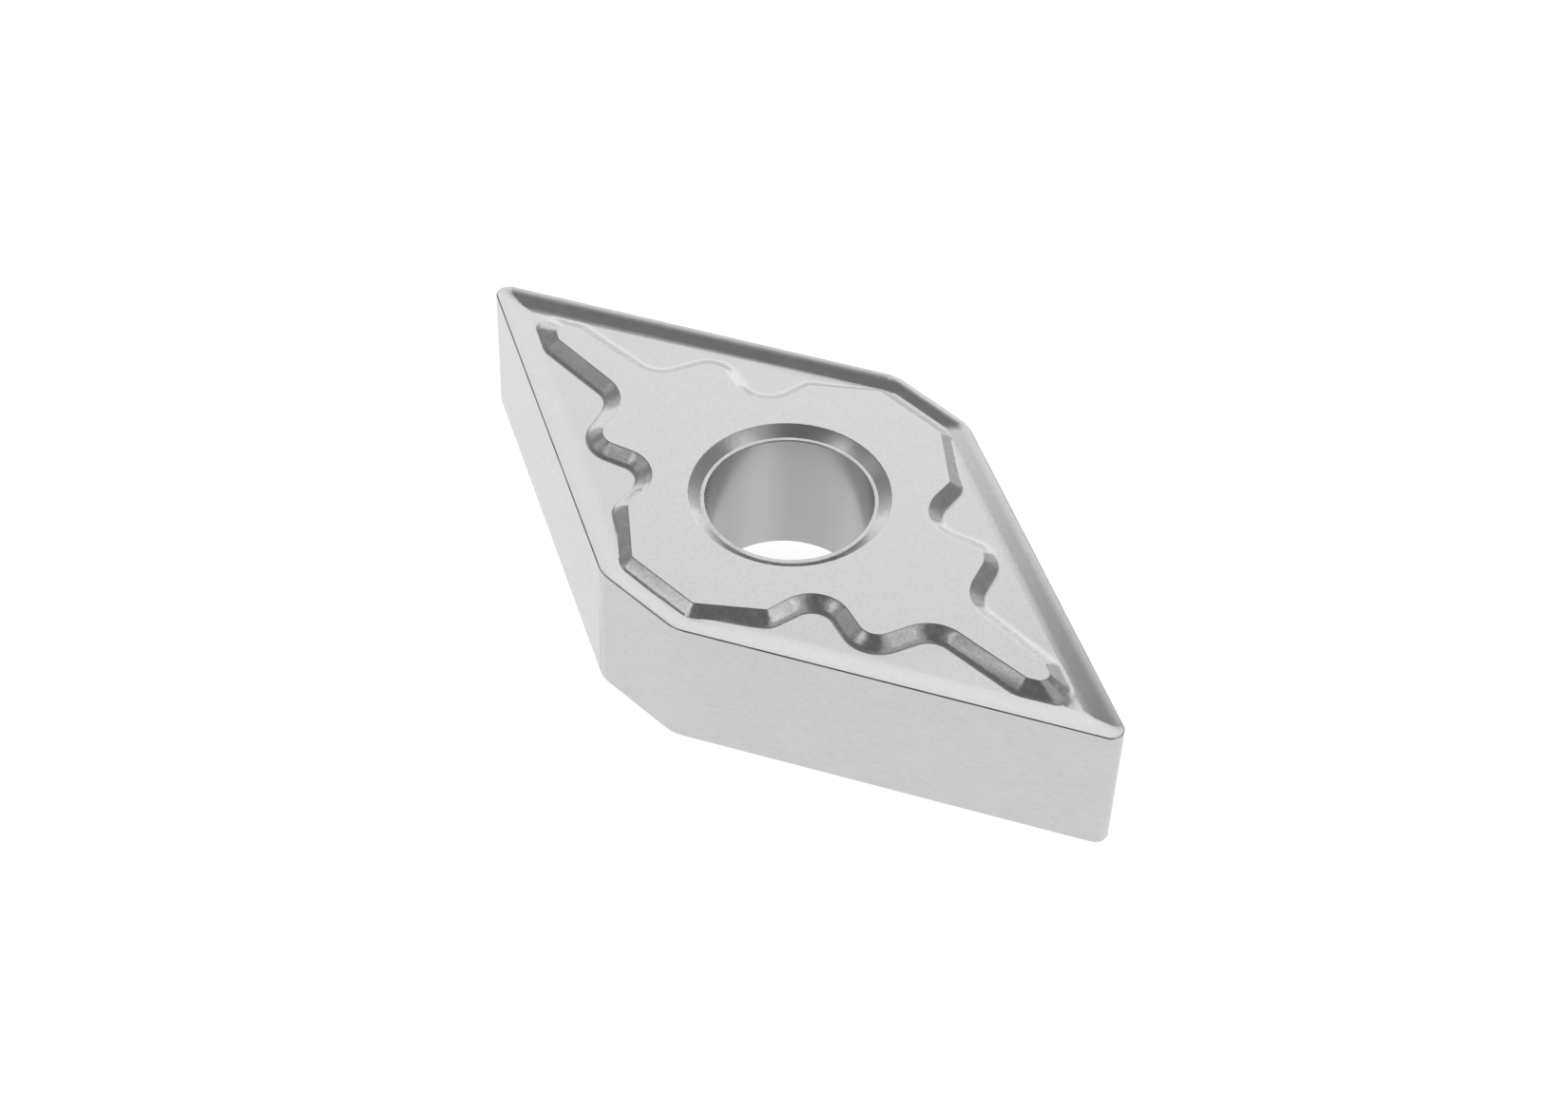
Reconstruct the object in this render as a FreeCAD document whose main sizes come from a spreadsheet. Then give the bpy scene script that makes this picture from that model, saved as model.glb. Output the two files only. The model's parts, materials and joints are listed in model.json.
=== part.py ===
"""Double-sided turning insert: a 55 degree rhombus with its obtuse corners cut off flat.

One sintered piece, in millimetres. The origin is the middle of the lower seating face. +Z runs
up the clamping hole and +X runs along the long diagonal to an acute cutting corner.

The insert is the same at both ends, on both sides and on both faces. So one eighth is modelled,
a quarter of the plan from mid-thickness upwards, and mirrored three times. The top of that
eighth has the cutting edge round it, then a narrow land that falls slightly inwards, a slope that
steepens down to the flat floor of the chip groove, and the waved wall of the island that the
insert is seated on.
"""

import FreeCAD, Part
import math
import operator
import os
import types

import Sketcher

NODE = "insert"

# Two shapes nearer than this, in millimetres, touch
TOUCH = 1e-5

# Driving dimensions in millimetres and degrees. A margin is measured in from the cutting edge and
# a fall down from it, a setback from the point where two sides would meet, and an x from the
# hole's axis. A flank is the straight stretch between two rounds, and its bearing says how far
# the second round lies below the first as seen from the X axis.
SIZES = {
    # The rhombus
    "inscribed_circle": 12.7,
    "corner_angle": 55.0,
    "nose_radius": 0.4,
    "flat_length": 3.11,
    "flat_corner_radius": 1.2,
    "thickness": 4.76,
    "edge_hone": 0.04,
    # The chip groove
    "land_width": 0.14,
    "land_fall": 0.009,
    "turn_width_at_sides": 0.32,
    "turn_width_at_flats": 0.27,
    "turn_fall": 0.034,
    "rim_width_at_sides": 0.74,
    "rim_width_at_flats": 0.57,
    "groove_depth": 0.13,
    "groove_blend_height": 0.023,
    "valley_radius": 0.06,
    # The clamping hole
    "hole_diameter": 5.16,
    "countersink_diameter": 6.22,
    "countersink_slope": 31.0,
    "countersink_foot_width": 0.14,
    "countersink_lip_radius": 0.04,
    # The island's top outline, from its corner at the flat to the end of its arm
    "island_rise": 0.14,
    "island_corner_margin": 1.03,
    "island_corner_setback": 0.32,
    "island_corner_radius": 0.2,
    "shoulder_x": 2.85,
    "shoulder_margin": 1.634,
    "shoulder_radius": 0.16,
    "shoulder_flank": 0.652,
    "shoulder_flank_bearing": 18.6,
    "inner_bay_radius": 1.2,
    "inner_flank": 0.663,
    "inner_flank_bearing": 51.7,
    "wave_radius": 0.62,
    "outer_flank": 0.718,
    "outer_bay_radius": 1.3,
    "arm_half_width": 0.5,
    "arm_end_setback": 3.78,
    "arm_end_y": 0.25,
    "arm_end_radius": 0.15,
    "arm_tip_setback": 3.58,
    "arm_tip_radius": 0.27,
    # How far the island's wall runs out from its top outline to its foot
    "wall_at_flats": 0.39,
    "wall_at_shoulder": 0.44,
    "wall_at_waves": 0.48,
    "wall_at_arm_end": 0.51,
    "ramp_tip_setback": 2.95,
    "ramp_tip_radius": 0.48,
    "foot_blend_height": 0.06,
}


class Term:
    """A size, or a sum worked out from sizes: its expression on the sheet and its value."""

    def __init__(self, text, value):
        self.text = text
        self.value = value

    def __add__(self, other):
        return combined(self, "+", other, operator.add)

    def __radd__(self, other):
        return self + other

    def __sub__(self, other):
        return combined(self, "-", other, operator.sub)

    def __rsub__(self, other):
        return self * -1 + other

    def __mul__(self, other):
        return combined(self, "*", other, operator.mul)

    def __truediv__(self, other):
        return combined(self, "/", other, operator.truediv)


def combined(first, sign, second, work_out):
    """A sum of two terms, or of a term and a plain number."""
    if not isinstance(second, Term):
        second = Term(f"({second})", second)
    return Term(f"({first.text} {sign} {second.text})", work_out(first.value, second.value))


def sine(angle):
    return Term(f"sin({angle.text})", math.sin(math.radians(angle.value)))


def cosine(angle):
    return Term(f"cos({angle.text})", math.cos(math.radians(angle.value)))


def tangent(angle):
    return Term(f"tan({angle.text})", math.tan(math.radians(angle.value)))


def hypotenuse(first, second):
    return Term(f"hypot({first.text}; {second.text})", math.hypot(first.value, second.value))


sizes = types.SimpleNamespace(**{name: Term(f"sizes.{name}", value) for name, value in SIZES.items()})

ZERO = Term("0", 0.0)

# Heights above mid-thickness
EDGE_HEIGHT = (sizes.thickness - sizes.island_rise) / 2
FLOOR_HEIGHT = EDGE_HEIGHT - sizes.groove_depth
CROWN_HEIGHT = EDGE_HEIGHT + sizes.island_rise
WALL_HEIGHT = sizes.groove_depth + sizes.island_rise

# The plan: a side's outward normal, the inscribed circle's radius, the point on the X axis where
# the sides would meet, and the distance of the flat
ACROSS = sine(sizes.corner_angle / 2)
ALONG = cosine(sizes.corner_angle / 2)
SIDE = sizes.inscribed_circle / 2
APEX_X = SIDE / ACROSS
FLAT_Y = (SIDE - sizes.flat_length / 2 * ACROSS) / ALONG


def make_sheet(doc):
    """Keep the driving dimensions in one spreadsheet, a name beside each number."""
    sheet = doc.addObject("Spreadsheet::Sheet", "sizes")
    for row, (name, value) in enumerate(SIZES.items(), start=1):
        sheet.set(f"A{row}", name)
        sheet.set(f"B{row}", str(value))
        sheet.setAlias(f"B{row}", name)
    doc.recompute()


def datum(body, role):
    """One of the body's own origin planes or axes."""
    for feature in body.Origin.OriginFeatures:
        if feature.Role == role:
            return feature
    raise RuntimeError(f"no {role} in {body.Name}")


def new_sketch(body, name, role, height):
    """A sketch on an origin plane, lifted by a bound height."""
    sketch = body.newObject("Sketcher::SketchObject", name)
    sketch.AttachmentSupport = [(datum(body, role), "")]
    sketch.MapMode = "FlatFace"
    sketch.setExpression("AttachmentOffset.Base.z", height.text)
    return sketch


def bind(sketch, name, constraint, expression):
    """Add a dimension under a name and bind it to the sheet."""
    sketch.renameConstraint(sketch.addConstraint(constraint), name)
    sketch.setExpression(f"Constraints.{name}", expression)


def common_normal(first, second):
    """Outward normal of the line that touches two circles, each (x, y, signed radius)."""
    reach_x = second[0] - first[0]
    reach_y = second[1] - first[1]
    length = math.hypot(reach_x, reach_y)
    inline = (first[2] - second[2]) / length
    square = math.sqrt(1.0 - inline * inline)
    return (
        (inline * reach_x - square * reach_y) / length,
        (inline * reach_y + square * reach_x) / length,
    )


def touch_point(circle, normal):
    """Where the line with this outward normal touches the circle."""
    x, y, radius = circle
    return FreeCAD.Vector(x + radius * normal[0], y + radius * normal[1], 0)


def arc_between(circle, first, second):
    """The arc of a circle between two outward normals; a bay's circle has a negative radius."""
    x, y, radius = circle
    whole = Part.Circle(FreeCAD.Vector(x, y, 0), FreeCAD.Vector(0, 0, 1), abs(radius))
    if radius > 0:
        return Part.ArcOfCircle(whole, math.atan2(second[1], second[0]), math.atan2(first[1], first[0]))
    return Part.ArcOfCircle(whole, math.atan2(-first[1], -first[0]), math.atan2(-second[1], -second[0]))


def quarter_outline(body, name, height, rounds):
    """A closed quarter of an outline: straight lines that touch rounded corners and bays.

    Each round has its centre's x and y and its radius, and is +1 where it bulges outwards or
    -1 where it is a bay. The outline leaves the Y axis square to it and meets the X axis on its
    last round, whose centre lies on that axis.
    """
    sketch = new_sketch(body, name, "XY_Plane", height)
    circles = [(x.value, y.value, radius.value * side) for x, y, radius, side in rounds]
    normals = [(0.0, 1.0)]
    normals += [common_normal(circle, after) for circle, after in zip(circles, circles[1:])]
    normals += [(1.0, 0.0)]
    origin = FreeCAD.Vector(0, 0, 0)
    top = FreeCAD.Vector(0, touch_point(circles[0], normals[0]).y, 0)

    lines = []
    arcs = []
    start = top
    for index, circle in enumerate(circles):
        line = Part.LineSegment(start, touch_point(circle, normals[index]))
        lines.append(sketch.addGeometry(line, False))
        arcs.append(sketch.addGeometry(arc_between(circle, normals[index], normals[index + 1]), False))
        start = touch_point(circle, normals[index + 1])
    up_axis = sketch.addGeometry(Part.LineSegment(origin, top), False)
    along_axis = sketch.addGeometry(Part.LineSegment(start, origin), False)

    add = sketch.addConstraint
    last = len(rounds) - 1
    for index, (x, y, radius, side) in enumerate(rounds):
        arc = arcs[index]
        enters, leaves = (2, 1) if side > 0 else (1, 2)
        add(Sketcher.Constraint("Tangent", lines[index], 2, arc, enters))
        bind(sketch, f"x{index}", Sketcher.Constraint("DistanceX", -1, 1, arc, 3, x.value), x.text)
        bind(sketch, f"radius{index}", Sketcher.Constraint("Radius", arc, radius.value), radius.text)
        if index < last:
            add(Sketcher.Constraint("Tangent", arc, leaves, lines[index + 1], 1))
            bind(sketch, f"y{index}", Sketcher.Constraint("DistanceY", -1, 1, arc, 3, y.value), y.text)
    add(Sketcher.Constraint("PointOnObject", arcs[last], 3, -1))
    add(Sketcher.Constraint("Coincident", up_axis, 1, -1, 1))
    add(Sketcher.Constraint("Coincident", up_axis, 2, lines[0], 1))
    add(Sketcher.Constraint("Vertical", up_axis))
    add(Sketcher.Constraint("Horizontal", lines[0]))
    add(Sketcher.Constraint("Coincident", along_axis, 1, arcs[last], 1))
    add(Sketcher.Constraint("Coincident", along_axis, 2, -1, 1))
    add(Sketcher.Constraint("Horizontal", along_axis))
    return sketch


def rhombus_rounds(side_inset, flat_inset, corner_radius, nose_radius):
    """The rhombus with its obtuse corners cut off, drawn inwards by the two insets."""
    side = SIDE - side_inset
    corner_y = FLAT_Y - flat_inset - corner_radius
    corner_x = (side - corner_radius - corner_y * ALONG) / ACROSS
    nose_x = (side - nose_radius) / ACROSS
    return [(corner_x, corner_y, corner_radius, 1), (nose_x, ZERO, nose_radius, 1)]


def across_flank(start, radius, flank, next_radius, bearing):
    """The centre of the round that lies beyond a straight flank from this round."""
    reach = hypotenuse(radius + next_radius, flank)
    return start[0] + reach * cosine(bearing), start[1] - reach * sine(bearing)


def wave_centres():
    """The centres of the shoulder, the inner bay, the wave and the outer bay, one after another."""
    shoulder_y = (SIDE - sizes.shoulder_margin - sizes.shoulder_x * ACROSS) / ALONG
    shoulder = (sizes.shoulder_x, shoulder_y)
    inner_bay = across_flank(
        shoulder,
        sizes.shoulder_radius,
        sizes.shoulder_flank,
        sizes.inner_bay_radius,
        sizes.shoulder_flank_bearing,
    )
    wave = across_flank(
        inner_bay,
        sizes.inner_bay_radius,
        sizes.inner_flank,
        sizes.wave_radius,
        sizes.inner_flank_bearing,
    )
    outer_bay_x = wave[0] + hypotenuse(sizes.wave_radius + sizes.outer_bay_radius, sizes.outer_flank)
    outer_bay_y = sizes.arm_half_width + sizes.outer_bay_radius
    return [shoulder, inner_bay, wave, (outer_bay_x, outer_bay_y)]


def island_rounds(share):
    """The island's outline at a share of its wall's run: 0 at its top, 1 at its foot."""
    shoulder, inner_bay, wave, outer_bay = wave_centres()
    corner_x = sizes.flat_length / 2 - sizes.island_corner_setback
    corner_y = FLAT_Y - sizes.island_corner_margin - sizes.island_corner_radius
    corner_radius = sizes.island_corner_radius + sizes.wall_at_flats * share
    shoulder_radius = sizes.shoulder_radius + sizes.wall_at_shoulder * share
    wave_run = sizes.wall_at_waves * share
    arm_end_radius = sizes.arm_end_radius + sizes.wall_at_arm_end * share
    tip_setback = sizes.arm_tip_setback + (sizes.ramp_tip_setback - sizes.arm_tip_setback) * share
    tip_radius = sizes.arm_tip_radius + (sizes.ramp_tip_radius - sizes.arm_tip_radius) * share
    return [
        (corner_x, corner_y, corner_radius, 1),
        (*shoulder, shoulder_radius, 1),
        (*inner_bay, sizes.inner_bay_radius - wave_run, -1),
        (*wave, sizes.wave_radius + wave_run, 1),
        (*outer_bay, sizes.outer_bay_radius - wave_run, -1),
        (APEX_X - sizes.arm_end_setback, sizes.arm_end_y, arm_end_radius, 1),
        (APEX_X - tip_setback, ZERO, tip_radius, 1),
    ]


def loft(body, kind, name, outlines):
    """Straight walls from each outline to the next."""
    feature = body.newObject(kind, name)
    feature.Profile = outlines[0]
    feature.Sections = [(outline, [""]) for outline in outlines[1:]]
    feature.Ruled = True
    feature.Refine = True
    return feature


def make_blank(body):
    """The plain eighth, a little higher than the cutting edge, which the chip groove cuts to height."""
    rounds = rhombus_rounds(ZERO, ZERO, sizes.flat_corner_radius, sizes.nose_radius)
    outline = quarter_outline(body, "edge_outline", ZERO, rounds)
    pad = body.newObject("PartDesign::Pad", "blank")
    pad.Profile = outline
    pad.setExpression("Length", (EDGE_HEIGHT + sizes.land_fall / 2).text)


def groove_outline(body, name, height, side_inset, flat_inset, nose_radius):
    """An outline round the chip groove, drawn in from the cutting edge by the two insets."""
    corner_radius = sizes.flat_corner_radius - flat_inset
    rounds = rhombus_rounds(side_inset, flat_inset, corner_radius, nose_radius)
    return quarter_outline(body, name, height, rounds)


def slope_outline(body, name, climb, nose_radius):
    """An outline at a share of the climb from where the slope would meet the floor to the turn."""
    height = FLOOR_HEIGHT + (sizes.groove_depth - sizes.turn_fall) * climb
    side_inset = sizes.rim_width_at_sides - (sizes.rim_width_at_sides - sizes.turn_width_at_sides) * climb
    flat_inset = sizes.rim_width_at_flats - (sizes.rim_width_at_flats - sizes.turn_width_at_flats) * climb
    return groove_outline(body, name, height, side_inset, flat_inset, nose_radius)


def make_groove(body):
    """The chip groove: the land, then a slope that steepens at the turn and blends into the floor."""
    land = sizes.land_width
    before_land = EDGE_HEIGHT + sizes.land_fall
    after_land = EDGE_HEIGHT - sizes.land_fall
    land_nose = sizes.nose_radius - land
    turn_nose = (land_nose + sizes.valley_radius) / 2
    blend = sizes.groove_blend_height / (sizes.groove_depth - sizes.turn_fall)
    floor_side = sizes.rim_width_at_sides + (sizes.rim_width_at_sides - sizes.turn_width_at_sides) * blend
    floor_flat = sizes.rim_width_at_flats + (sizes.rim_width_at_flats - sizes.turn_width_at_flats) * blend
    outlines = [
        groove_outline(body, "overrun_outline", before_land, land * -1, land * -1, sizes.nose_radius + land),
        groove_outline(body, "land_outline", after_land, land, land, land_nose),
        slope_outline(body, "turn_outline", ZERO + 1, turn_nose),
        slope_outline(body, "blend_outline", blend, sizes.valley_radius),
        groove_outline(body, "floor_outline", FLOOR_HEIGHT, floor_side, floor_flat, sizes.valley_radius),
    ]
    return loft(body, "PartDesign::SubtractiveLoft", "chip_groove", outlines)


def in_mirror_plane(edge):
    """Whether an edge lies in one of the planes that the eighth is mirrored over."""
    box = edge.BoundBox
    return min(abs(box.XMax), abs(box.YMax), abs(box.ZMax)) < TOUCH


def hone_edge(body, base):
    """Round the cutting edge, all along the top of the side faces, by its small hone."""
    outline = body.getObject("edge_outline").Shape.copy()
    outline.translate(FreeCAD.Vector(0, 0, EDGE_HEIGHT.value))
    names = []
    for index, edge in enumerate(base.Shape.Edges, start=1):
        middle = edge.valueAt((edge.FirstParameter + edge.LastParameter) / 2)
        if not in_mirror_plane(edge) and outline.distToShape(Part.Vertex(middle))[0] < TOUCH:
            names.append(f"Edge{index}")
    feature = body.newObject("PartDesign::Fillet", "edge_hone")
    feature.Base = (base, names)
    feature.setExpression("Radius", sizes.edge_hone.text)


def make_island(body):
    """The seating island, whose sloping wall is rounded where it meets the groove's floor."""
    blend = sizes.foot_blend_height / WALL_HEIGHT
    mid_blend = FLOOR_HEIGHT + sizes.foot_blend_height / 4
    blend_top = FLOOR_HEIGHT + sizes.foot_blend_height
    outlines = [
        quarter_outline(body, "foot_outline", FLOOR_HEIGHT, island_rounds(1 + blend)),
        quarter_outline(body, "mid_blend_outline", mid_blend, island_rounds(ZERO + 1)),
        quarter_outline(body, "blend_top_outline", blend_top, island_rounds(1 - blend)),
        quarter_outline(body, "crown_outline", CROWN_HEIGHT, island_rounds(ZERO)),
    ]
    loft(body, "PartDesign::AdditiveLoft", "seating_island", outlines)


def hole_section(body):
    """Half of the clamping hole's section: the bore, its lip, the flat foot and the countersink."""
    sketch = new_sketch(body, "hole_section", "XZ_Plane", ZERO)
    bore = sizes.hole_diameter / 2
    mouth = sizes.countersink_diameter / 2
    lip = sizes.countersink_lip_radius
    slope = sizes.countersink_slope
    foot_x = bore + sizes.countersink_foot_width
    foot_z = CROWN_HEIGHT - (mouth - foot_x) * tangent(slope)
    lip_x = bore + lip
    lip_z = foot_z - lip
    places = [
        (ZERO, ZERO),
        (ZERO, CROWN_HEIGHT),
        (mouth, CROWN_HEIGHT),
        (foot_x, foot_z),
        (lip_x, foot_z),
        (bore, lip_z),
        (bore, ZERO),
    ]
    corners = [FreeCAD.Vector(x.value, z.value, 0) for x, z in places]
    lip_centre = FreeCAD.Vector(lip_x.value, lip_z.value, 0)
    lip_circle = Part.Circle(lip_centre, FreeCAD.Vector(0, 0, 1), lip.value)
    lip_arc = Part.ArcOfCircle(lip_circle, math.pi / 2, math.pi)
    axis = sketch.addGeometry(Part.LineSegment(corners[0], corners[1]), False)
    top = sketch.addGeometry(Part.LineSegment(corners[1], corners[2]), False)
    cone = sketch.addGeometry(Part.LineSegment(corners[2], corners[3]), False)
    foot = sketch.addGeometry(Part.LineSegment(corners[3], corners[4]), False)
    rounding = sketch.addGeometry(lip_arc, False)
    wall = sketch.addGeometry(Part.LineSegment(corners[5], corners[6]), False)
    middle = sketch.addGeometry(Part.LineSegment(corners[6], corners[0]), False)

    add = sketch.addConstraint
    add(Sketcher.Constraint("Coincident", axis, 1, -1, 1))
    add(Sketcher.Constraint("Vertical", axis))
    add(Sketcher.Constraint("Coincident", axis, 2, top, 1))
    add(Sketcher.Constraint("Horizontal", top))
    add(Sketcher.Constraint("Coincident", top, 2, cone, 1))
    add(Sketcher.Constraint("Coincident", cone, 2, foot, 1))
    add(Sketcher.Constraint("Horizontal", foot))
    add(Sketcher.Constraint("Tangent", foot, 2, rounding, 1))
    add(Sketcher.Constraint("Tangent", rounding, 2, wall, 1))
    add(Sketcher.Constraint("Vertical", wall))
    add(Sketcher.Constraint("Coincident", wall, 2, middle, 1))
    add(Sketcher.Constraint("Coincident", middle, 2, -1, 1))
    add(Sketcher.Constraint("Horizontal", middle))
    crown_distance = Sketcher.Constraint("DistanceY", axis, 1, axis, 2, CROWN_HEIGHT.value)
    bind(sketch, "crown", crown_distance, CROWN_HEIGHT.text)
    bind(sketch, "mouth", Sketcher.Constraint("DistanceX", top, 1, top, 2, mouth.value), mouth.text)
    bind(sketch, "bore", Sketcher.Constraint("DistanceX", -1, 1, wall, 2, bore.value), bore.text)
    bind(sketch, "foot", Sketcher.Constraint("DistanceX", -1, 1, foot, 1, foot_x.value), foot_x.text)
    bind(sketch, "lip", Sketcher.Constraint("Radius", rounding, lip.value), lip.text)
    cone_angle = Sketcher.Constraint("Angle", top, 2, cone, 1, math.radians(slope.value))
    bind(sketch, "slope", cone_angle, f"{slope.text} * 1 deg")
    return sketch


def make_hole(body):
    """The clamping hole, bored and countersunk from the middle upwards."""
    section = hole_section(body)
    feature = body.newObject("PartDesign::Groove", "clamping_hole")
    feature.Profile = section
    feature.ReferenceAxis = (datum(body, "Z_Axis"), [""])
    feature.Angle = 360.0
    feature.Refine = True


def mirror_eighth(doc, body):
    """Mirror the eighth to both ends, both sides and both faces."""
    whole = body.newObject("PartDesign::MultiTransform", "all_eighths")
    whole.TransformMode = "Whole shape"
    mirrors = []
    for name, role in (("both_ends", "YZ_Plane"), ("both_sides", "XZ_Plane"), ("both_faces", "XY_Plane")):
        mirror = doc.addObject("PartDesign::Mirrored", name)
        body.addObject(mirror)
        mirror.MirrorPlane = (datum(body, role), [""])
        mirrors.append(mirror)
    whole.Transformations = mirrors
    whole.Refine = True
    body.Tip = whole


def make_insert(doc):
    """The whole insert, lifted so that its lower seating face lies at the origin."""
    body = doc.addObject("PartDesign::Body", NODE)
    body.Label = NODE
    make_blank(body)
    groove = make_groove(body)
    doc.recompute()
    hone_edge(body, groove)
    make_island(body)
    make_hole(body)
    doc.recompute()
    mirror_eighth(doc, body)
    body.setExpression("Placement.Base.z", CROWN_HEIGHT.text)
    doc.recompute()
    return body


def check(doc, part):
    """Stop if anything failed to build."""
    for thing in doc.Objects:
        if "Invalid" in thing.State or "Error" in thing.State:
            raise RuntimeError(f"{thing.Name}: {thing.State}")
    if part.Shape.isNull() or not part.Shape.isValid():
        raise RuntimeError(f"{part.Label}: bad shape")


def main():
    doc = FreeCAD.newDocument("turning_insert")
    make_sheet(doc)
    insert = make_insert(doc)
    check(doc, insert)
    os.makedirs("parts", exist_ok=True)
    insert.Shape.exportStep(f"parts/{insert.Label}.step")
    print(f"{insert.Label}: {insert.Shape.Volume:.3f} mm3 in {len(insert.Shape.Faces)} faces")


main()
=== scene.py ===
"""Looks of the turning insert, laid out as a Blender add-on and run as a script.

Everything is in metres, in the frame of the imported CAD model: the origin is the middle of the
lower seating face, +Z runs up the clamping hole and +X to an acute cutting corner.
"""

import json
import math
from types import SimpleNamespace
from typing import NamedTuple

import bmesh
import bpy
from mathutils import Matrix, Vector


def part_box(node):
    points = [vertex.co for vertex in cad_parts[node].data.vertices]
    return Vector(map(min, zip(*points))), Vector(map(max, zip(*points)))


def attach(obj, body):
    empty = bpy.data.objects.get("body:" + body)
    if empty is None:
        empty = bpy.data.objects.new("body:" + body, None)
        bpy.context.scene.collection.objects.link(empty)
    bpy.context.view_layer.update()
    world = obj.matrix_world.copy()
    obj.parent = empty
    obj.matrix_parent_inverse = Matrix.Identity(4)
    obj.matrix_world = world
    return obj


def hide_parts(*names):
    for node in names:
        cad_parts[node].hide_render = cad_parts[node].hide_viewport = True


bl_info = {
    "name": "Turning Insert",
    "version": (1, 0, 0),
    "blender": (4, 5, 0),
    "location": "3D View > Sidebar > Insert",
    "description": "Dresses the packed turning insert in satin sintered carbide on a plain stage",
    "category": "Object",
}

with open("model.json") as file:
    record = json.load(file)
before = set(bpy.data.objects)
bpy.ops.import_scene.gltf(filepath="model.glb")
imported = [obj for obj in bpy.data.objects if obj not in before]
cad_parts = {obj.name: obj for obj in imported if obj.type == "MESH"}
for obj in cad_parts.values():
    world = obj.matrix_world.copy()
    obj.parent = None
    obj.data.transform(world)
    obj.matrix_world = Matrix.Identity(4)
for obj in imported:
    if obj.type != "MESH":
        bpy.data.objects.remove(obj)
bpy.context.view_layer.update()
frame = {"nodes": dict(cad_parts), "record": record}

NODE = "insert"
PIECE = "sintered_insert"
MM = 0.001

LOWEST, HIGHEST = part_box(NODE)
MIDDLE_HEIGHT = (LOWEST.z + HIGHEST.z) / 2
SIDE_SEATS = [mount for mount in frame["record"]["mounts"] if mount["name"].startswith("side_seat")]

# Vertices nearer than this are one, and heights nearer than this are level
MERGE = 0.001 * MM
# Faces that meet at less than this are one flat face
FLAT_ANGLE = math.radians(0.4)
# Faces that meet at more than this keep a crisp edge, and so does an edge with a single face
CRISP_ANGLE = math.radians(28)
SINGLE_FACE_ANGLE = math.pi
ROUNDING_STEPS = 3
# How much the larger faces' weight in the shading is raised, where 50 leaves it as it is
LARGE_FACE_WEIGHT = 100

# How far a face's normal points up or down, from 0 to 1: more than LEVEL on a seat, less than
# UPRIGHT on a side face or in the bore, and less than WALL_SLOPE on an island's wall
LEVEL = 0.999
UPRIGHT = 0.2
WALL_SLOPE = 0.98

# The order of the finishes in the piece's material slots
FINISHES = ("seat", "groove", "wall", "side", "countersink", "bore", "edge")

# How far a noise must rise for the first sign of a mark, and for the whole of it
PITTED_FROM = (0.45, 0.75)
POLISHED_FROM = (0.4, 0.75)
SPECK_FROM = (0.74, 0.78)
RUBBED_FROM = (0.35, 0.65)
WORN_FROM = (0.35, 0.65)
NOISE_MIDDLE = 0.5

# How coordinates are scaled to draw a noise out along the side faces or along the bore
ALONG_FACES = (0.35, 0.35, 1.0)
ALONG_BORE = (1.0, 1.0, 0.08)

# How each finish is made from its noises. A size is a share of the grain or cloud size, and the
# relief one of the grain relief. Pitting, polish and a strength say how far a mark changes the
# colour, and a share how much a noise counts in the mottling. A swing is how much a noise changes
# the roughness, and a height how much it counts in the relief. Rougher is what the whole finish
# adds to the roughness, and smoother what a mark takes from it.
SEAT = SimpleNamespace(
    cloud_size=0.5,
    pitting=0.16,
    polish=0.16,
    rougher=-0.01,
    grain_swing=0.08,
    cloud_swing=0.05,
    cloud_height=0.5,
)
GROOVE = SimpleNamespace(
    grain_size=0.9,
    cloud_size=0.4,
    pitting=0.2,
    polish=0.16,
    grain_swing=0.1,
    cloud_swing=0.06,
    cloud_height=0.6,
    relief=1.2,
)
WALL = SimpleNamespace(
    grain_size=0.7,
    patch_size=2.2,
    patch_share=0.3,
    grain_share=0.7,
    pitting=0.9,
    polish=0.9,
    patch_swing=0.25,
    grain_swing=0.12,
    grain_height=0.8,
    patch_height=2.0,
    relief=3.0,
)
SIDE = SimpleNamespace(
    drawn_size=1.4,
    grain_share=0.5,
    drawn_share=0.5,
    pitting=0.3,
    polish=0.14,
    rougher=0.02,
    drawn_swing=0.1,
    cloud_swing=0.05,
    grain_height=0.6,
    drawn_height=0.8,
    relief=1.2,
)
COUNTERSINK = SimpleNamespace(
    patch_size=0.45,
    lump_size=2.5,
    grain_share=0.5,
    patch_share=0.5,
    pitting=0.6,
    polish=0.1,
    speck_strength=0.7,
    rougher=0.04,
    patch_swing=0.15,
    grain_swing=0.08,
    relief=1.5,
)
BORE = SimpleNamespace(
    grain_size=0.8,
    band_size=1.4,
    rubbed_strength=0.25,
    grain_strength=0.15,
    rougher=0.06,
    rubbed_smoother=0.04,
    grain_swing=0.08,
    band_height=0.5,
)
EDGE = SimpleNamespace(
    grain_size=0.6,
    cloud_size=0.8,
    worn_strength=0.3,
    rougher=-0.04,
    grain_swing=0.2,
    worn_smoother=0.04,
    relief=0.5,
)

# The light all round, from the horizon, where it is as white as the floor, to straight up: the
# sine of the height and the grey there
SURROUND = (
    (0.0, 1.0),
    (0.008, 1.0),
    (0.018, 0.55),
    (0.15, 0.46),
    (0.4, 0.34),
    (0.7, 0.29),
    (0.87, 0.19),
    (1.0, 0.16),
)


class Aim(NamedTuple):
    """Where a soft light panel stands, seen from the insert, and its level. Angles in degrees."""

    # The middle of the panel: anticlockwise from +X, and up from the floor
    bearing: float
    height: float
    # The angles that the panel spans
    across: float
    up: float
    # How bright it is, where 1 is white
    level: float


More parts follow.
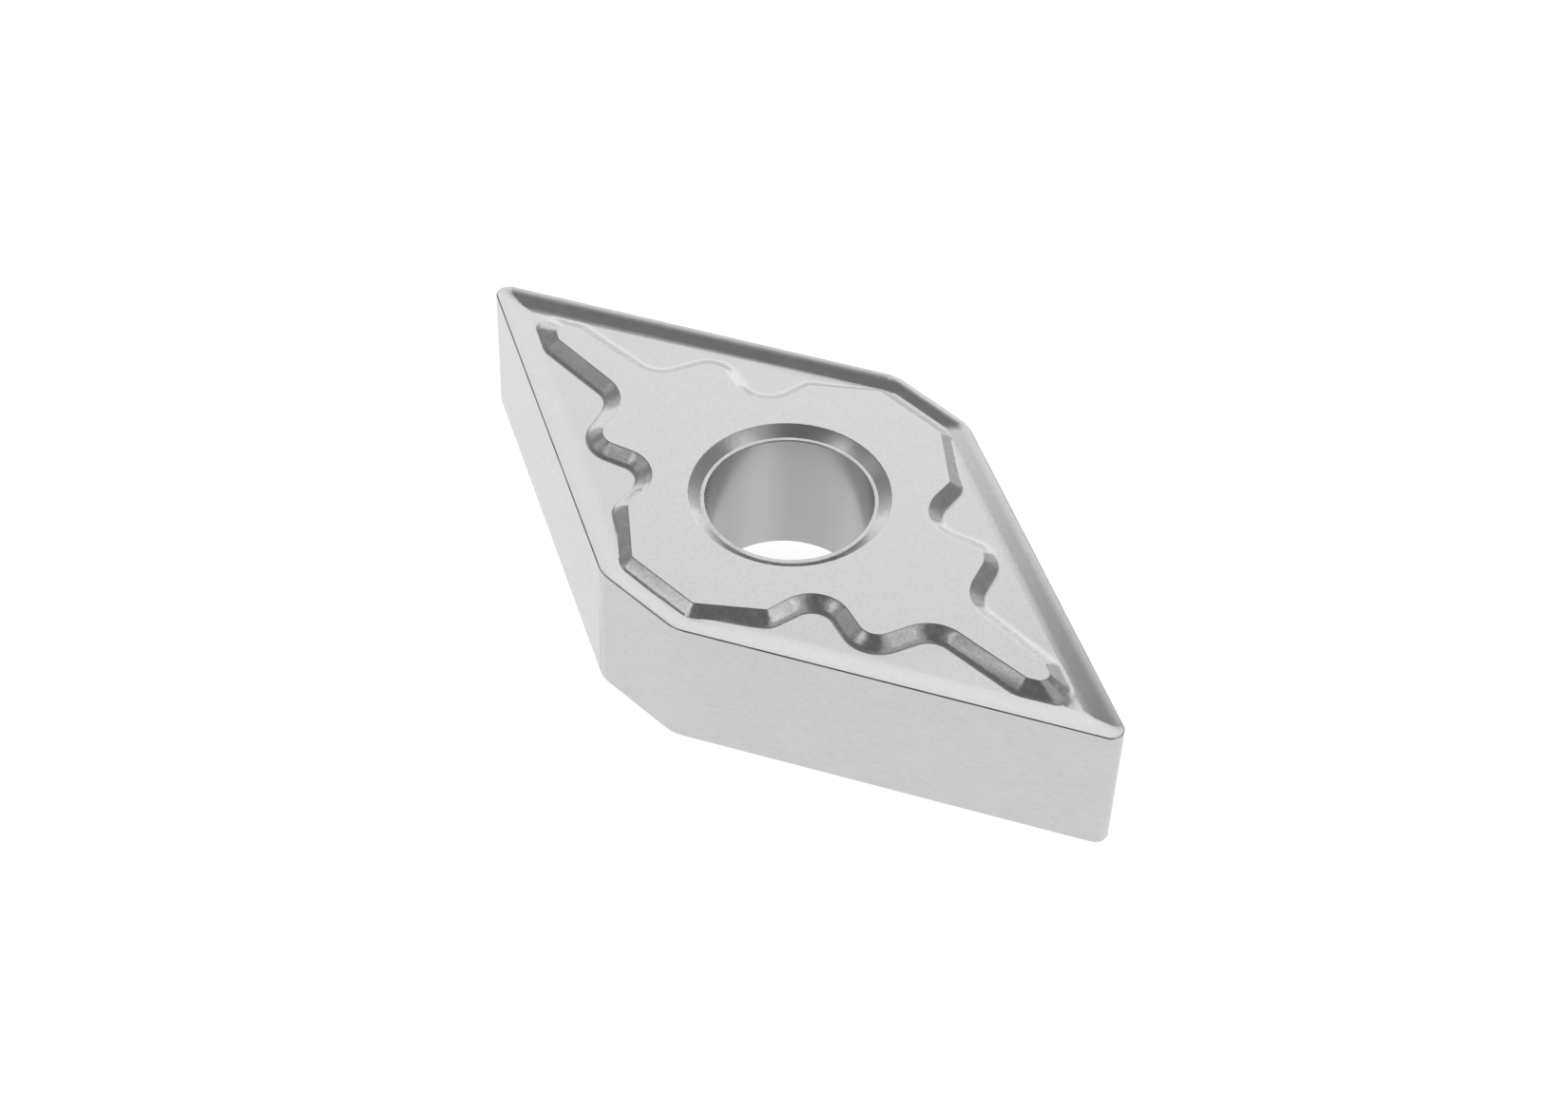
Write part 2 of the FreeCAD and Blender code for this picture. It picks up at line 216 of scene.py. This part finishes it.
PANELS = {
    "key": Aim(126, 28.5, 45, 51, 0.88),
    "key_edge": Aim(94, 18, 14, 18, 0.22),
    "key_side": Aim(158, 15, 14, 26, 0.75),
    "side_edge": Aim(171, 21, 12, 16, 0.22),
    "left": Aim(238, 48, 22, 36, 0.82),
    "left_edge": Aim(222, 40, 14, 13, 0.4),
    "left_far": Aim(200, 44, 12, 14, 0.25),
    "right": Aim(22, 55, 30, 22, 0.7),
    "overhead": Aim(60, 71, 36, 24, 0.33),
}

SENSOR_WIDTH = 36.0
NEAREST_SEEN = 1.0 * MM
FARTHEST_SEEN = 10.0


class InsertLooks(bpy.types.PropertyGroup):
    """Sizes and colours of the insert's surfaces."""

    countersink_radius: bpy.props.FloatProperty(
        name="Countersink radius",
        description="Radius at the mouth of the clamping hole",
        default=3.11 * MM,
        precision=6,
        unit="LENGTH",
    )
    hone: bpy.props.FloatProperty(
        name="Hone",
        description="Width of the honed band along the cutting edge, which has its own finish",
        default=0.042 * MM,
        precision=6,
        unit="LENGTH",
    )
    seat_rounding: bpy.props.FloatProperty(
        name="Seat rounding",
        description="Width of the rounding along the outline of the seating islands",
        default=0.022 * MM,
        precision=6,
        unit="LENGTH",
    )
    carbide: bpy.props.FloatVectorProperty(
        name="Carbide",
        description="Grey of the sintered carbide",
        subtype="COLOR",
        default=(0.6, 0.6, 0.6),
        min=0.0,
        max=1.0,
    )
    # Painted shade: the bore's grey is darker than the carbide to stand for the little light that
    # reaches into the hole
    bore: bpy.props.FloatVectorProperty(
        name="Bore",
        description="Grey of the clamping hole's bore, which the light hardly reaches",
        subtype="COLOR",
        default=(0.42, 0.42, 0.42),
        min=0.0,
        max=1.0,
    )
    # Painted shade: the edge's grey is darker than the carbide to draw the thin dark line that the
    # honed rounding shows along the cutting edge
    edge: bpy.props.FloatVectorProperty(
        name="Edge",
        description="Grey of the honed cutting edge",
        subtype="COLOR",
        default=(0.28, 0.28, 0.28),
        min=0.0,
        max=1.0,
    )
    pit: bpy.props.FloatVectorProperty(
        name="Pit",
        description="Grey of the dark grains and pits in the carbide",
        subtype="COLOR",
        default=(0.42, 0.42, 0.42),
        min=0.0,
        max=1.0,
    )
    worn: bpy.props.FloatVectorProperty(
        name="Worn",
        description="Grey of the carbide where handling has polished it",
        subtype="COLOR",
        default=(0.7, 0.7, 0.7),
        min=0.0,
        max=1.0,
    )
    grain_size: bpy.props.FloatProperty(
        name="Grain size",
        description="Width of the fine grain that the sintered surface shows",
        default=0.09 * MM,
        precision=6,
        unit="LENGTH",
    )
    cloud_size: bpy.props.FloatProperty(
        name="Cloud size",
        description="Width of the faint lighter and darker clouds in the surface",
        default=1.1 * MM,
        precision=6,
        unit="LENGTH",
    )
    grain_relief: bpy.props.FloatProperty(
        name="Grain relief",
        description="Depth of the fine grain",
        default=0.0004 * MM,
        precision=8,
        unit="LENGTH",
    )
    roughness: bpy.props.FloatProperty(
        name="Roughness",
        description="Roughness of the as-sintered surface",
        default=0.21,
        min=0.0,
        max=1.0,
        subtype="FACTOR",
    )


class StageLooks(bpy.types.PropertyGroup):
    """The floor, the light and the photograph's viewpoint."""

    floor_size: bpy.props.FloatProperty(
        name="Floor size",
        description="Side of the square floor",
        default=8.0,
        unit="LENGTH",
    )
    floor_color: bpy.props.FloatVectorProperty(
        name="Floor",
        description="Colour of the floor",
        subtype="COLOR",
        default=(0.9, 0.9, 0.9),
        min=0.0,
        max=1.0,
    )
    panel_distance: bpy.props.FloatProperty(
        name="Panel distance",
        description="Distance of the light panels from the insert",
        default=0.3,
        unit="LENGTH",
    )
    panel_level: bpy.props.FloatProperty(
        name="Panel level",
        description="Brightness of all the light panels together",
        default=1.0,
        min=0.0,
    )
    white_share: bpy.props.FloatProperty(
        name="White share",
        description="How much of the floor's look is plain white; the rest takes the shadow",
        default=0.85,
        min=0.0,
        max=1.0,
        subtype="FACTOR",
    )
    white_level: bpy.props.FloatProperty(
        name="White level",
        description="Brightness of the floor's plain white",
        default=1.12,
        min=0.0,
    )
    camera_place: bpy.props.FloatVectorProperty(
        name="Camera place",
        description="Where the photograph was taken from",
        subtype="TRANSLATION",
        default=(45.20 * MM, -48.03 * MM, 69.23 * MM),
        precision=5,
        unit="LENGTH",
    )
    camera_look: bpy.props.FloatVectorProperty(
        name="Camera direction",
        description="The way the camera looks",
        subtype="XYZ",
        default=(-0.4813, 0.5100, -0.7129),
        precision=4,
    )
    camera_up: bpy.props.FloatVectorProperty(
        name="Camera up",
        description="The way up in the photograph",
        subtype="XYZ",
        default=(-0.5195, 0.4891, 0.7007),
        precision=4,
    )
    camera_lens: bpy.props.FloatProperty(
        name="Lens",
        description="Focal length in millimetres on a sensor 36 mm wide",
        default=69.66,
        min=1.0,
    )


def switched_on(sockets, name):
    """The socket of that name which the node's settings leave switched on."""
    return next(socket for socket in sockets if socket.name == name and socket.enabled)


def set_stops(ramp, stops):
    """Give a colour ramp its stops, each a position and a grey."""
    while len(ramp.elements) < len(stops):
        ramp.elements.new(1.0)
    for element, (position, level) in zip(ramp.elements, stops):
        element.position = position
        element.color = (level, level, level, 1.0)


class Wire:
    """A shader socket that adds a Math node when it is added, subtracted or multiplied."""

    def __init__(self, recipe, socket):
        self.recipe = recipe
        self.socket = socket

    def __add__(self, other):
        return self.recipe.maths("ADD", self, other)

    def __radd__(self, other):
        return self.recipe.maths("ADD", other, self)

    def __sub__(self, other):
        return self.recipe.maths("SUBTRACT", self, other)

    def __rsub__(self, other):
        return self.recipe.maths("SUBTRACT", other, self)

    def __mul__(self, other):
        return self.recipe.maths("MULTIPLY", self, other)

    def __rmul__(self, other):
        return self.recipe.maths("MULTIPLY", other, self)


class Recipe:
    """A node tree, and the one way in which this script adds nodes to it."""

    def __init__(self, tree):
        self.tree = tree
        tree.nodes.clear()

    def feed(self, socket, value):
        """Link a wire to a socket, or set the socket's own value."""
        if isinstance(value, Wire):
            self.tree.links.new(value.socket, socket)
        else:
            socket.default_value = value

    def add(self, kind, output, settings=(), inputs=()):
        """Add a node: its settings first, then its sockets' values or links. Returns an output.

        A socket goes by its name, or by its number where two share a name.
        """
        node = self.tree.nodes.new(kind)
        for name, value in dict(settings).items():
            if name == "stops":
                set_stops(node.color_ramp, value)
            else:
                setattr(node, name, value)
        for name, value in dict(inputs).items():
            socket = node.inputs[name] if isinstance(name, int) else switched_on(node.inputs, name)
            self.feed(socket, value)
        if output is None:
            return None
        return Wire(self, switched_on(node.outputs, output))

    def maths(self, operation, first, second):
        """A Math node on two wires or numbers."""
        inputs = {0: first, 1: second}
        return self.add("ShaderNodeMath", "Value", {"operation": operation}, inputs)

    def place(self):
        """Object coordinates, in metres in the insert's frame."""
        return self.add("ShaderNodeTexCoord", "Object")

    def stretched(self, scale):
        """Object coordinates multiplied along each axis."""
        inputs = {"Vector": self.place(), "Scale": scale}
        return self.add("ShaderNodeMapping", "Vector", {"vector_type": "POINT"}, inputs)

    def noise(self, vector, size, detail=2.0, rough=0.5):
        """Noise from 0 to 1 whose lumps are about this size."""
        inputs = {"Vector": vector, "Scale": 1.0 / size, "Detail": detail, "Roughness": rough}
        return self.add("ShaderNodeTexNoise", "Fac", (), inputs)

    def between(self, value, low, high):
        """0 below the low value, 1 above the high one and smooth between them."""
        inputs = {"Value": value, "From Min": low, "From Max": high}
        settings = {"interpolation_type": "SMOOTHSTEP", "clamp": True}
        return self.add("ShaderNodeMapRange", "Result", settings, inputs)

    def blend(self, share, first, second):
        """Mix two colours."""
        inputs = {"Factor": share, "A": first, "B": second}
        return self.add("ShaderNodeMix", "Result", {"data_type": "RGBA"}, inputs)


def paint(color):
    """A colour property as the four numbers that a colour socket takes."""
    return (*color, 1.0)


def swing(noise, amount):
    """A noise as a swing either side of zero."""
    return (noise - NOISE_MIDDLE) * amount


def new_material(name):
    """A material and the recipe for its nodes."""
    material = bpy.data.materials.new(name)
    material.use_nodes = True
    return material, Recipe(material.node_tree)


def metal_output(recipe, color, roughness, height, relief):
    """Finish a material as metal with this colour, roughness and relief."""
    bump = {"Height": height, "Strength": 1.0, "Distance": relief}
    normal = recipe.add("ShaderNodeBump", "Normal", (), bump)
    metal = {"Base Color": color, "Metallic": 1.0, "Roughness": roughness, "Normal": normal}
    surface = recipe.add("ShaderNodeBsdfPrincipled", "BSDF", (), metal)
    recipe.add("ShaderNodeOutputMaterial", None, (), {"Surface": surface})


def carbide_color(recipe, looks, finish, grain, cloud):
    """Sintered grey, darker where the grain is pitted and lighter where clouds are polished."""
    pitted = recipe.between(grain, *PITTED_FROM) * finish.pitting
    polished = recipe.between(cloud, *POLISHED_FROM) * finish.polish
    base = recipe.blend(pitted, paint(looks.carbide), paint(looks.pit))
    return recipe.blend(polished, base, paint(looks.worn))


def seat_material(looks):
    """The flat seats: lightly ground, so finer and smoother than the groove."""
    material, recipe = new_material("ground_seat")
    grain = recipe.noise(recipe.place(), looks.grain_size, detail=3.0, rough=0.6)
    cloud = recipe.noise(recipe.place(), looks.cloud_size * SEAT.cloud_size, detail=3.0)
    color = carbide_color(recipe, looks, SEAT, grain, cloud)
    plain = looks.roughness + SEAT.rougher
    roughness = plain + swing(grain, SEAT.grain_swing) + swing(cloud, SEAT.cloud_swing)
    height = grain + cloud * SEAT.cloud_height
    metal_output(recipe, color, roughness, height, looks.grain_relief)
    return material


def groove_material(looks):
    """The pressed groove and its rim: as sintered, with a fine grain."""
    material, recipe = new_material("pressed_groove")
    grain_size = looks.grain_size * GROOVE.grain_size
    grain = recipe.noise(recipe.place(), grain_size, detail=4.0, rough=0.65)
    cloud = recipe.noise(recipe.place(), looks.cloud_size * GROOVE.cloud_size, detail=3.0)
    color = carbide_color(recipe, looks, GROOVE, grain, cloud)
    uneven = looks.roughness + swing(grain, GROOVE.grain_swing)
    roughness = uneven + swing(cloud, GROOVE.cloud_swing)
    height = grain + cloud * GROOVE.cloud_height
    metal_output(recipe, color, roughness, height, looks.grain_relief * GROOVE.relief)
    return material


def wall_material(looks):
    """The island's walls: pressed, and more uneven and mottled than the groove's floor."""
    material, recipe = new_material("pressed_wall")
    grain_size = looks.grain_size * WALL.grain_size
    patch_size = looks.grain_size * WALL.patch_size
    grain = recipe.noise(recipe.place(), grain_size, detail=3.0, rough=0.6)
    patch = recipe.noise(recipe.place(), patch_size, detail=3.0, rough=0.6)
    mottle = patch * WALL.patch_share + grain * WALL.grain_share
    color = carbide_color(recipe, looks, WALL, mottle, patch)
    uneven = looks.roughness + swing(patch, WALL.patch_swing)
    roughness = uneven + swing(grain, WALL.grain_swing)
    height = grain * WALL.grain_height + patch * WALL.patch_height
    metal_output(recipe, color, roughness, height, looks.grain_relief * WALL.relief)
    return material


def side_material(looks):
    """The side faces: satin, with a faint grain drawn out along the faces."""
    material, recipe = new_material("satin_side")
    drawn_size = looks.grain_size * SIDE.drawn_size
    grain = recipe.noise(recipe.place(), looks.grain_size, detail=3.0, rough=0.6)
    drawn = recipe.noise(recipe.stretched(ALONG_FACES), drawn_size, detail=2.0)
    cloud = recipe.noise(recipe.place(), looks.cloud_size, detail=3.0)
    mottle = grain * SIDE.grain_share + drawn * SIDE.drawn_share
    color = carbide_color(recipe, looks, SIDE, mottle, cloud)
    plain = looks.roughness + SIDE.rougher
    roughness = plain + swing(drawn, SIDE.drawn_swing) + swing(cloud, SIDE.cloud_swing)
    height = grain * SIDE.grain_height + drawn * SIDE.drawn_height
    metal_output(recipe, color, roughness, height, looks.grain_relief * SIDE.relief)
    return material


def countersink_material(looks):
    """The countersinks: pressed, with soft blotches and a few dark specks."""
    material, recipe = new_material("pressed_countersink")
    patch_size = looks.cloud_size * COUNTERSINK.patch_size
    lump_size = looks.grain_size * COUNTERSINK.lump_size
    grain = recipe.noise(recipe.place(), looks.grain_size, detail=3.0, rough=0.6)
    patch = recipe.noise(recipe.place(), patch_size, detail=3.0)
    lump = recipe.noise(recipe.place(), lump_size, detail=1.0)
    speck = recipe.between(lump, *SPECK_FROM)
    mottle = grain * COUNTERSINK.grain_share + patch * COUNTERSINK.patch_share
    color = carbide_color(recipe, looks, COUNTERSINK, mottle, patch)
    color = recipe.blend(speck * COUNTERSINK.speck_strength, color, paint(looks.pit))
    plain = looks.roughness + COUNTERSINK.rougher
    uneven = plain + swing(patch, COUNTERSINK.patch_swing)
    roughness = uneven + swing(grain, COUNTERSINK.grain_swing)
    height = grain + patch - speck
    metal_output(recipe, color, roughness, height, looks.grain_relief * COUNTERSINK.relief)
    return material


def bore_material(looks):
    """The bore: painted darker than the carbide as shade for the little light that reaches into the
    hole, with broad soft bands along it where the die has rubbed.
    """
    material, recipe = new_material("pressed_bore")
    grain_size = looks.grain_size * BORE.grain_size
    band_size = looks.cloud_size * BORE.band_size
    grain = recipe.noise(recipe.place(), grain_size, detail=3.0, rough=0.6)
    band = recipe.noise(recipe.stretched(ALONG_BORE), band_size, detail=1.0)
    rubbed = recipe.between(band, *RUBBED_FROM)
    share = rubbed * BORE.rubbed_strength + swing(grain, BORE.grain_strength)
    # The bore's darker grey is painted shade of the hole; the rubbed bands lighten it at random
    color = recipe.blend(share, paint(looks.bore), paint(looks.worn))
    plain = looks.roughness + BORE.rougher
    roughness = plain - rubbed * BORE.rubbed_smoother + swing(grain, BORE.grain_swing)
    height = grain + band * BORE.band_height
    metal_output(recipe, color, roughness, height, looks.grain_relief)
    return material


def edge_material(looks):
    """The honed cutting edge: smooth, painted dark along most of it as shade for the thin dark line
    that its rounding shows, and brighter at random where it is worn.
    """
    material, recipe = new_material("honed_edge")
    grain = recipe.noise(recipe.place(), looks.grain_size * EDGE.grain_size, detail=2.0)
    cloud = recipe.noise(recipe.place(), looks.cloud_size * EDGE.cloud_size, detail=2.0)
    worn = recipe.between(cloud, *WORN_FROM)
    # The dark edge grey is painted shade of the honed rounding; the worn clouds lighten it at
    # random
    color = recipe.blend(worn * EDGE.worn_strength, paint(looks.edge), paint(looks.worn))
    plain = looks.roughness + EDGE.rougher
    roughness = plain + swing(grain, EDGE.grain_swing) - worn * EDGE.worn_smoother
    metal_output(recipe, color, roughness, grain, looks.grain_relief * EDGE.relief)
    return material


# In the order of FINISHES
MATERIAL_MAKERS = (
    seat_material,
    groove_material,
    wall_material,
    side_material,
    countersink_material,
    bore_material,
    edge_material,
)


def plan_radius(point):
    """Distance of a point from the hole's axis."""
    return math.hypot(point.x, point.y)


def level_with(edge, height):
    """Whether an edge lies at this height."""
    return all(abs(vertex.co.z - height) < MERGE for vertex in edge.verts)


def is_seat_edge(edge):
    """Whether an edge bounds a seat, along a wall of the island or round the countersink."""
    if not any(level_with(edge, height) for height in (LOWEST.z, HIGHEST.z)):
        return False
    return sum(abs(face.normal.z) > LEVEL for face in edge.link_faces) == 1


def round_edges(solid, edges, width):
    """Round these edges by a bevel of this width."""
    bmesh.ops.bevel(
        solid,
        geom=edges,
        offset=width,
        offset_type="OFFSET",
        segments=ROUNDING_STEPS,
        profile=0.5,
        affect="EDGES",
        clamp_overlap=True,
        material=-1,
    )


def inset(point):
    """How far a point lies inside the cutting edge, on the plan."""
    from_sides = [Vector(seat["axis"]).dot(Vector(seat["pos_m"]) - point) for seat in SIDE_SEATS]
    return min(*from_sides, HIGHEST.y - abs(point.y))


def finish_of(face, looks):
    """Which of the finishes a face has, from where it is and which way it points."""
    middle = face.calc_center_median()
    below_seat = HIGHEST.z - MIDDLE_HEIGHT - abs(middle.z - MIDDLE_HEIGHT)
    slope = abs(face.normal.z)
    if plan_radius(middle) < looks.countersink_radius and below_seat > MERGE:
        # Upright faces inside the hole take the bore's finish, whose darker grey is painted shade
        return "bore" if slope < UPRIGHT else "countersink"
    if slope < UPRIGHT:
        return "side"
    # Faces within the hone take the edge's finish, whose dark grey is painted shade along the
    # cutting edge
    if inset(middle) < looks.hone:
        return "edge"
    if below_seat < looks.seat_rounding:
        return "seat"
    outward = face.normal.x * middle.x + face.normal.y * middle.y > 0
    if outward and slope < WALL_SLOPE:
        return "wall"
    return "groove"


def merge_faces(solid):
    """Join the loose triangles of the CAD mesh, and make one face of those that are flat."""
    bmesh.ops.remove_doubles(solid, verts=solid.verts, dist=MERGE)
    bmesh.ops.dissolve_limit(
        solid,
        angle_limit=FLAT_ANGLE,
        use_dissolve_boundaries=False,
        verts=solid.verts,
        edges=solid.edges,
    )
    solid.normal_update()


def set_finishes(solid, looks):
    """Give every face its finish, and shade all but the crisp edges smooth."""
    for face in solid.faces:
        face.smooth = True
        face.material_index = FINISHES.index(finish_of(face, looks))
    for edge in solid.edges:
        edge.smooth = edge.calc_face_angle(SINGLE_FACE_ANGLE) < CRISP_ANGLE


def finished_mesh(looks):
    """The CAD solid's mesh, merged and with its fine roundings, as one smooth body."""
    mesh = frame["nodes"][NODE].data.copy()
    mesh.name = PIECE
    mesh.materials.clear()
    for make in MATERIAL_MAKERS:
        mesh.materials.append(make(looks))
    solid = bmesh.new()
    solid.from_mesh(mesh)
    merge_faces(solid)
    round_edges(solid, [edge for edge in solid.edges if is_seat_edge(edge)], looks.seat_rounding)
    solid.normal_update()
    set_finishes(solid, looks)
    solid.to_mesh(mesh)
    solid.free()
    if "custom_normal" in mesh.attributes:
        mesh.attributes.remove(mesh.attributes["custom_normal"])
    return mesh


class INSERT_OT_body(bpy.types.Operator):
    """Dress the one sintered piece"""

    bl_idname = "insert.body"
    bl_label = "Insert Body"

    def execute(self, context):
        looks = context.scene.insert_looks
        piece = bpy.data.objects.new(PIECE, finished_mesh(looks))
        context.scene.collection.objects.link(piece)
        even = piece.modifiers.new("even_shading", "WEIGHTED_NORMAL")
        even.mode = "FACE_AREA"
        even.weight = LARGE_FACE_WEIGHT
        even.keep_sharp = True
        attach(piece, "root")
        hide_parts(NODE)
        return {"FINISHED"}


def floor_material(stage):
    """A pale floor that shows as white to the eye and in the metal, and keeps a soft shadow."""
    material, recipe = new_material("pale_floor")
    seen = recipe.add("ShaderNodeLightPath", "Is Camera Ray")
    for ray in ("Is Glossy Ray", "Is Transmission Ray"):
        seen = recipe.maths("MAXIMUM", seen, recipe.add("ShaderNodeLightPath", ray))
    coat = recipe.add("ShaderNodeBsdfDiffuse", "BSDF", (), {"Color": paint(stage.floor_color)})
    white = recipe.add("ShaderNodeEmission", "Emission", (), {"Strength": stage.white_level})
    mixed = {"Fac": seen * stage.white_share, 1: coat, 2: white}
    surface = recipe.add("ShaderNodeMixShader", "Shader", (), mixed)
    recipe.add("ShaderNodeOutputMaterial", None, (), {"Surface": surface})
    return material


def make_floor(context, stage):
    """A flat square floor under the insert."""
    mesh = bpy.data.meshes.new("floor")
    sheet = bmesh.new()
    bmesh.ops.create_grid(sheet, x_segments=1, y_segments=1, size=stage.floor_size / 2)
    sheet.to_mesh(mesh)
    sheet.free()
    mesh.materials.append(floor_material(stage))
    floor = bpy.data.objects.new("floor", mesh)
    context.scene.collection.objects.link(floor)


def make_surround(context):
    """Plain studio light all round: white at the horizon and darker overhead."""
    world = bpy.data.worlds.new("studio")
    world.use_nodes = True
    context.scene.world = world
    recipe = Recipe(world.node_tree)
    direction = recipe.add("ShaderNodeTexCoord", "Generated")
    height = recipe.add("ShaderNodeSeparateXYZ", "Z", (), {"Vector": direction})
    level = recipe.add("ShaderNodeValToRGB", "Color", {"stops": SURROUND}, {"Fac": height})
    light = recipe.add("ShaderNodeBackground", "Background", (), {"Color": level, "Strength": 1.0})
    recipe.add("ShaderNodeOutputWorld", None, (), {"Surface": light})


def span(distance, angle):
    """How wide a panel at this distance is, to span this angle in degrees."""
    return 2 * distance * math.tan(math.radians(angle / 2))


def make_panel(context, stage, name, aim):
    """A soft light panel that faces the insert."""
    light = bpy.data.lights.new(name, "AREA")
    light.shape = "RECTANGLE"
    light.size = span(stage.panel_distance, aim.across)
    light.size_y = span(stage.panel_distance, aim.up)
    light.energy = stage.panel_level * aim.level * math.pi * light.size * light.size_y
    panel = bpy.data.objects.new(name, light)
    context.scene.collection.objects.link(panel)
    around = Matrix.Rotation(math.radians(aim.bearing), 3, "Z")
    upwards = Matrix.Rotation(math.radians(-aim.height), 3, "Y")
    away = around @ upwards @ Vector((1, 0, 0))
    panel.location = away * stage.panel_distance
    panel.rotation_euler = away.to_track_quat("Z", "Y").to_euler()
    panel.visible_camera = False


def make_camera(context, stage):
    """The photograph's viewpoint."""
    data = bpy.data.cameras.new("camera")
    data.sensor_width = SENSOR_WIDTH
    data.lens = stage.camera_lens
    data.clip_start = NEAREST_SEEN
    data.clip_end = FARTHEST_SEEN
    camera = bpy.data.objects.new("camera", data)
    context.scene.collection.objects.link(camera)
    back = -Vector(stage.camera_look).normalized()
    right = Vector(stage.camera_up).cross(back).normalized()
    up = back.cross(right)
    turn = Matrix((right, up, back)).transposed().to_4x4()
    camera.matrix_world = Matrix.Translation(stage.camera_place) @ turn
    context.scene.camera = camera


class INSERT_OT_stage(bpy.types.Operator):
    """Set up the floor, the light and the camera"""

    bl_idname = "insert.stage"
    bl_label = "Stage"

    def execute(self, context):
        stage = context.scene.insert_stage
        make_floor(context, stage)
        make_surround(context)
        for name, aim in PANELS.items():
            make_panel(context, stage, f"{name}_panel", aim)
        make_camera(context, stage)
        context.scene.view_settings.view_transform = "Standard"
        return {"FINISHED"}


class INSERT_PT_panel(bpy.types.Panel):
    """Build the insert and its stage"""

    bl_label = "Turning Insert"
    bl_idname = "INSERT_PT_panel"
    bl_space_type = "VIEW_3D"
    bl_region_type = "UI"
    bl_category = "Insert"

    def draw(self, context):
        layout = self.layout
        for group in (context.scene.insert_looks, context.scene.insert_stage):
            column = layout.column()
            for name in group.__annotations__:
                column.prop(group, name)
        layout.operator(INSERT_OT_body.bl_idname)
        layout.operator(INSERT_OT_stage.bl_idname)


CLASSES = (InsertLooks, StageLooks, INSERT_OT_body, INSERT_OT_stage, INSERT_PT_panel)


def register():
    """Register the classes, and put the sizes and colours on the scene."""
    for item in CLASSES:
        bpy.utils.register_class(item)
    bpy.types.Scene.insert_looks = bpy.props.PointerProperty(type=InsertLooks)
    bpy.types.Scene.insert_stage = bpy.props.PointerProperty(type=StageLooks)


def unregister():
    """Undo what register does."""
    del bpy.types.Scene.insert_stage
    del bpy.types.Scene.insert_looks
    for item in reversed(CLASSES):
        bpy.utils.unregister_class(item)


def main():
    """Build the insert and its stage."""
    register()
    bpy.ops.insert.body()
    bpy.ops.insert.stage()


if __name__ == "__main__":
    main()
